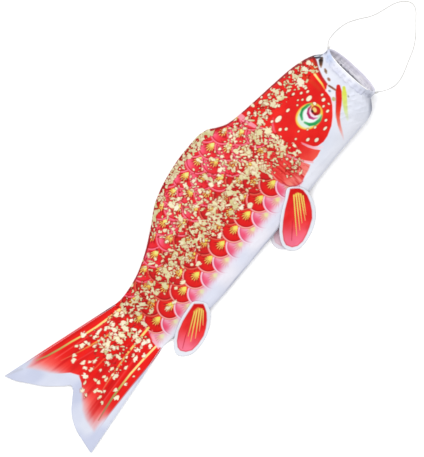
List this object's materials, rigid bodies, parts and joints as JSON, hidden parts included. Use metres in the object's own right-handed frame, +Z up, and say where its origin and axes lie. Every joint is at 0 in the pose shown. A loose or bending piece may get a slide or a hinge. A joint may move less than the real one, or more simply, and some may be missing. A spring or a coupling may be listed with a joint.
{
  "type": "carp streamer",
  "caption": "Fish-shaped fabric windsock with a hooped open mouth, a thin bridle string, side fins and a forked tail; air flows in at the mouth and out at the tail.",
  "frame": {"origin": "middle of the base, under the middle of the object without its string", "axes": "+X along the fish to its mouth, +Y to its back edge, +Z up; it lies on its left side"},
  "size_m": [0.8177, 0.2246, 0.0682],
  "materials": {
    "printed_satin": "satin",
    "fin_satin": "satin",
    "white_satin": "satin",
    "string": "matte",
    "thread": "matte",
    "hoop_plastic": "satin"
  },
  "bodies": {
    "body": {"right_body_panel": "printed_satin", "left_body_panel": "printed_satin", "dorsal_seam_thread": "thread", "belly_seam_thread": "thread", "mouth_hem": "white_satin", "mouth_hoop": "hoop_plastic", "hem_thread": "thread", "right_pectoral_stitch": "thread", "left_pectoral_stitch": "thread", "right_pelvic_stitch": "thread", "left_pelvic_stitch": "thread", "bridle_cord": "string", "bridle_knot_dorsal": "string", "bridle_knot_ventral": "string"},
    "tail": {"right_tail_panel": "printed_satin", "left_tail_panel": "printed_satin", "tail_upper_seam_thread": "thread", "tail_lower_seam_thread": "thread"},
    "right_pectoral": {"right_pectoral_fin": "fin_satin"},
    "left_pectoral": {"left_pectoral_fin": "fin_satin"},
    "right_pelvic": {"right_pelvic_fin": "fin_satin"},
    "left_pelvic": {"left_pelvic_fin": "fin_satin"}
  },
  "joints": [
    {"name": "tail_bend", "type": "hinge", "parent": "body", "child": "tail", "pos_m": [-0.15248, -0.01604, 0.0013], "axis": [0, 1, 0], "range_deg": [0, 75]},
    {"name": "right_pectoral_lift", "type": "hinge", "parent": "body", "child": "right_pectoral", "pos_m": [0.1518, -0.0429, 0.03251], "axis": [-0.7216, 0.6661, 0.1884], "range_deg": [0, 100]},
    {"name": "left_pectoral_lift", "type": "hinge", "parent": "body", "child": "left_pectoral", "pos_m": [0.1518, -0.0429, 0.00035], "axis": [0.7348, -0.6783, 0], "range_deg": [0, 100]},
    {"name": "right_pelvic_lift", "type": "hinge", "parent": "body", "child": "right_pelvic", "pos_m": [-0.06709, -0.05676, 0.02073], "axis": [-0.6254, 0.7675, 0.1409], "range_deg": [0, 100]},
    {"name": "left_pelvic_lift", "type": "hinge", "parent": "body", "child": "left_pelvic", "pos_m": [-0.06709, -0.05676, 0.00035], "axis": [0.6317, -0.7752, 0], "range_deg": [0, 100]}
  ]
}
